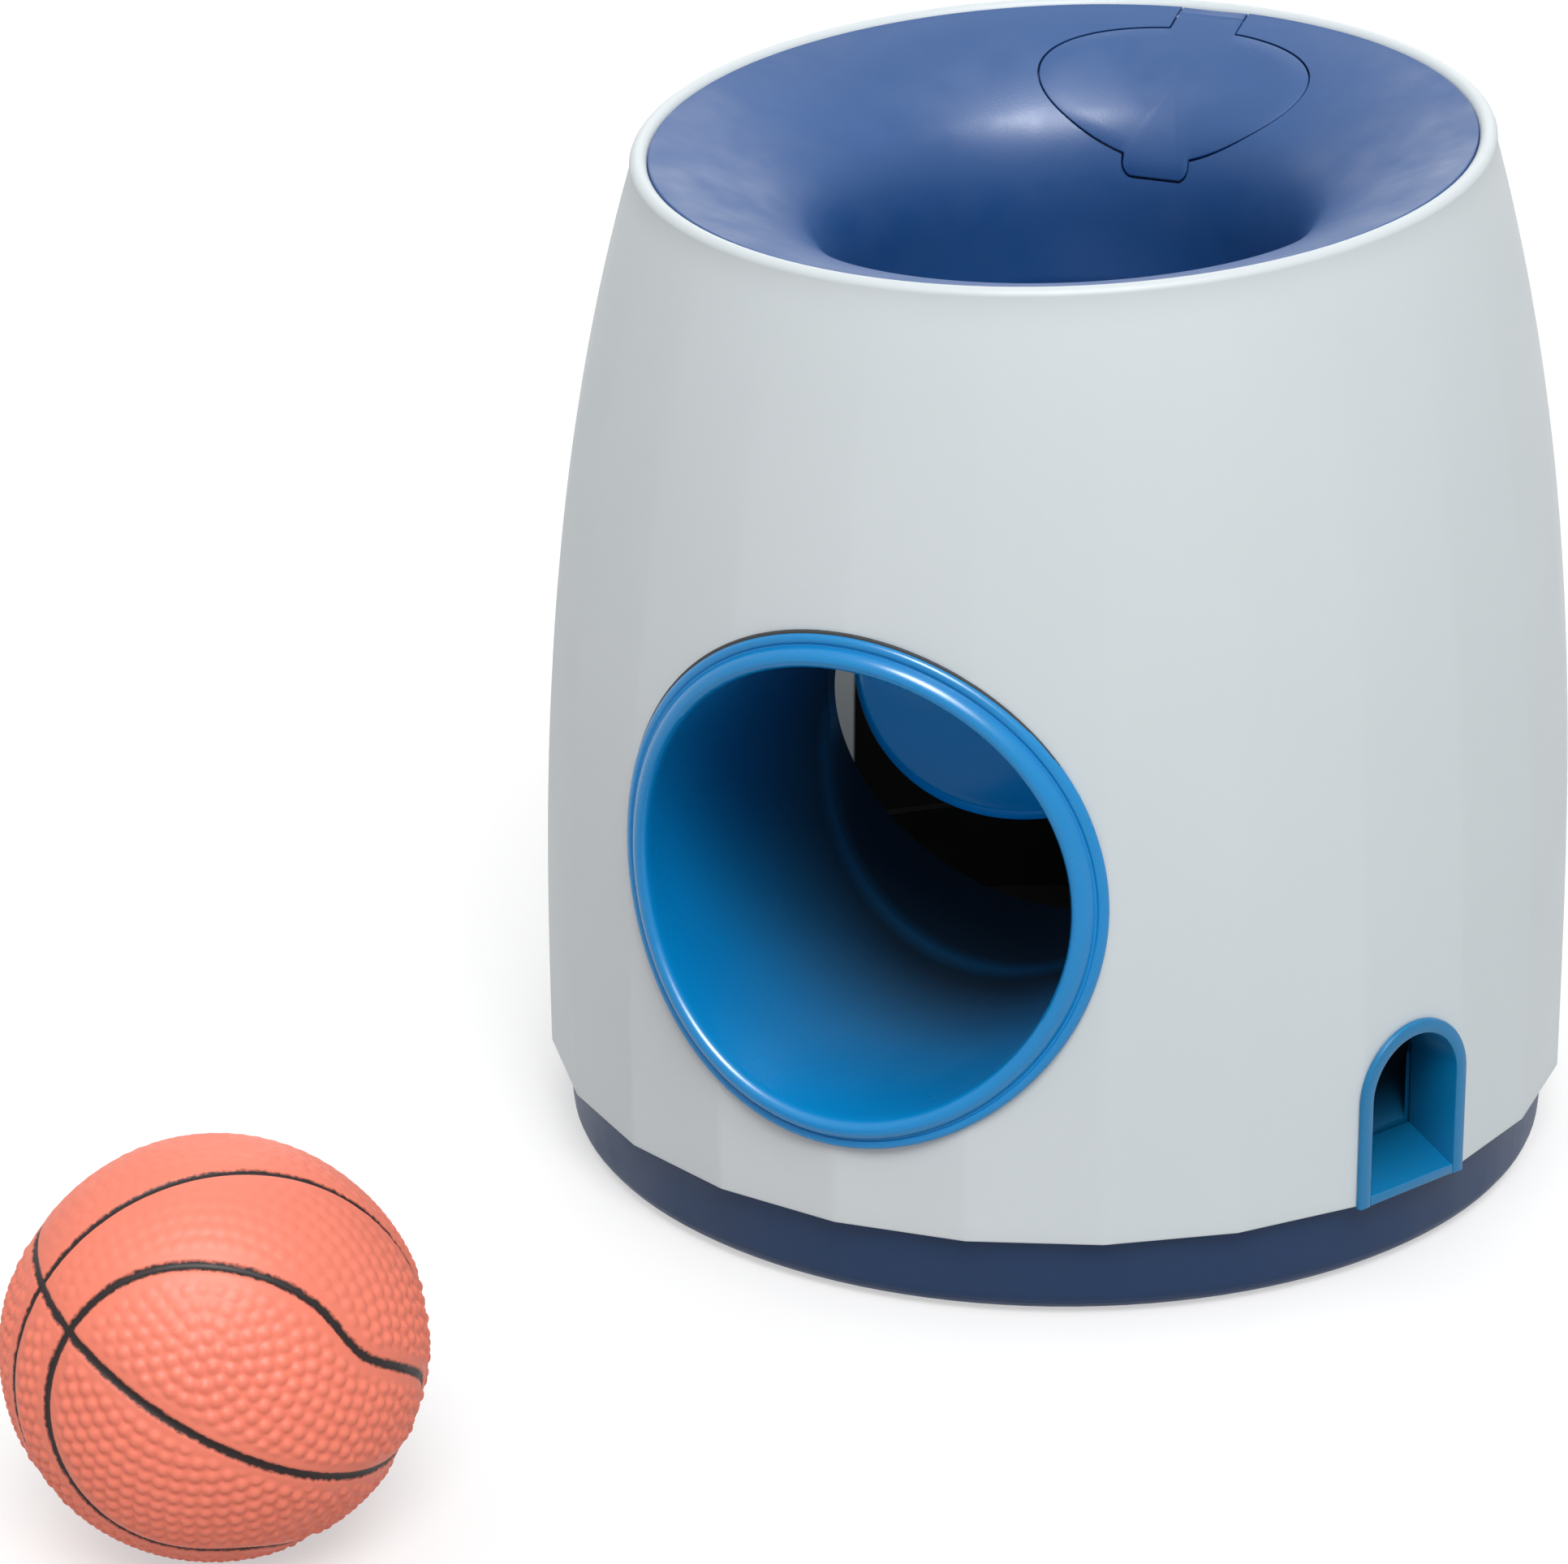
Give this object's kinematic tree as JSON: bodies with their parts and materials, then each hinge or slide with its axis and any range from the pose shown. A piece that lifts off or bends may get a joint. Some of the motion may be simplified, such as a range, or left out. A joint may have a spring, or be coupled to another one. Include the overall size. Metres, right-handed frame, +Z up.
{
  "type": "treat dispensing ball toy",
  "caption": "Barrel-shaped pet toy: a ball dropped in the slanted funnel tips a sprung dish, releases treats from a side spout and rolls out of the front tunnel.",
  "frame": {"origin": "middle of the grip ring's underside, on the surface that the toy stands on, on the barrel's axis", "axes": "+Z up along the barrel, -Y out of the ball tunnel, +Y towards the treat lid, +X towards the treat spout's side"},
  "size_m": [0.1696, 0.2997, 0.1732],
  "materials": {
    "housing": "pale cool grey moulded plastic, fine matte",
    "base": "dark navy moulded plastic, satin",
    "funnel": "navy blue moulded plastic, satin with fine grain",
    "tunnel": "bright blue moulded plastic, satin gloss",
    "paddle": "bright blue moulded plastic, glossy",
    "inner": "black moulded plastic, matte",
    "rubber": "black rubber, matte",
    "steel": "zinc plated steel",
    "vinyl": "coral soft vinyl with raised pebbles and dark painted grooves"
  },
  "bodies": {
    "toy": {"housing_shell": "housing", "base_tray": "base", "grip_ring": "rubber", "base_screws": "steel", "funnel_top": "funnel", "lid_hinge_pin": "steel", "ball_tunnel": "tunnel", "treat_spout": "tunnel", "treat_chute": "tunnel", "hopper": "inner", "hopper_screws": "steel", "dosing_bed": "inner", "bed_screws": "steel", "axle_bushes": "inner", "paddle_stop": "rubber"},
    "lid": {"treat_lid": "funnel"},
    "paddle": {"paddle": "paddle", "paddle_axle": "steel", "drive_pin": "steel", "axle_clips": "steel", "return_spring": "steel"},
    "slide": {"dosing_slide": "inner"},
    "ball": {"ball": "vinyl"}
  },
  "joints": [
    {"name": "lid_hinge", "type": "hinge", "parent": "toy", "child": "lid", "pos_m": [0, 0.0634, 0.17064], "axis": [-1, 0, 0], "range_deg": [0, 95]},
    {"name": "paddle_swing", "type": "hinge", "parent": "toy", "child": "paddle", "pos_m": [0, 0.04, 0.106], "axis": [1, 0, 0], "range_deg": [0, 26], "stiffness_Nm_per_rad": 0.02, "springref_deg": -34.38},
    {"name": "slide_travel", "type": "slide", "parent": "toy", "child": "slide", "axis": [0, 1, 0], "range_m": [0, 0.01171]},
    {"name": "ball_lift", "type": "slide", "parent": "toy", "child": "ball", "axis": [0, 0, 1], "range_m": [0, 0.25]}
  ],
  "couplings": [
    {"joint": "slide_travel", "follows": "paddle_swing", "m_per_rad": 0.025777}
  ]
}
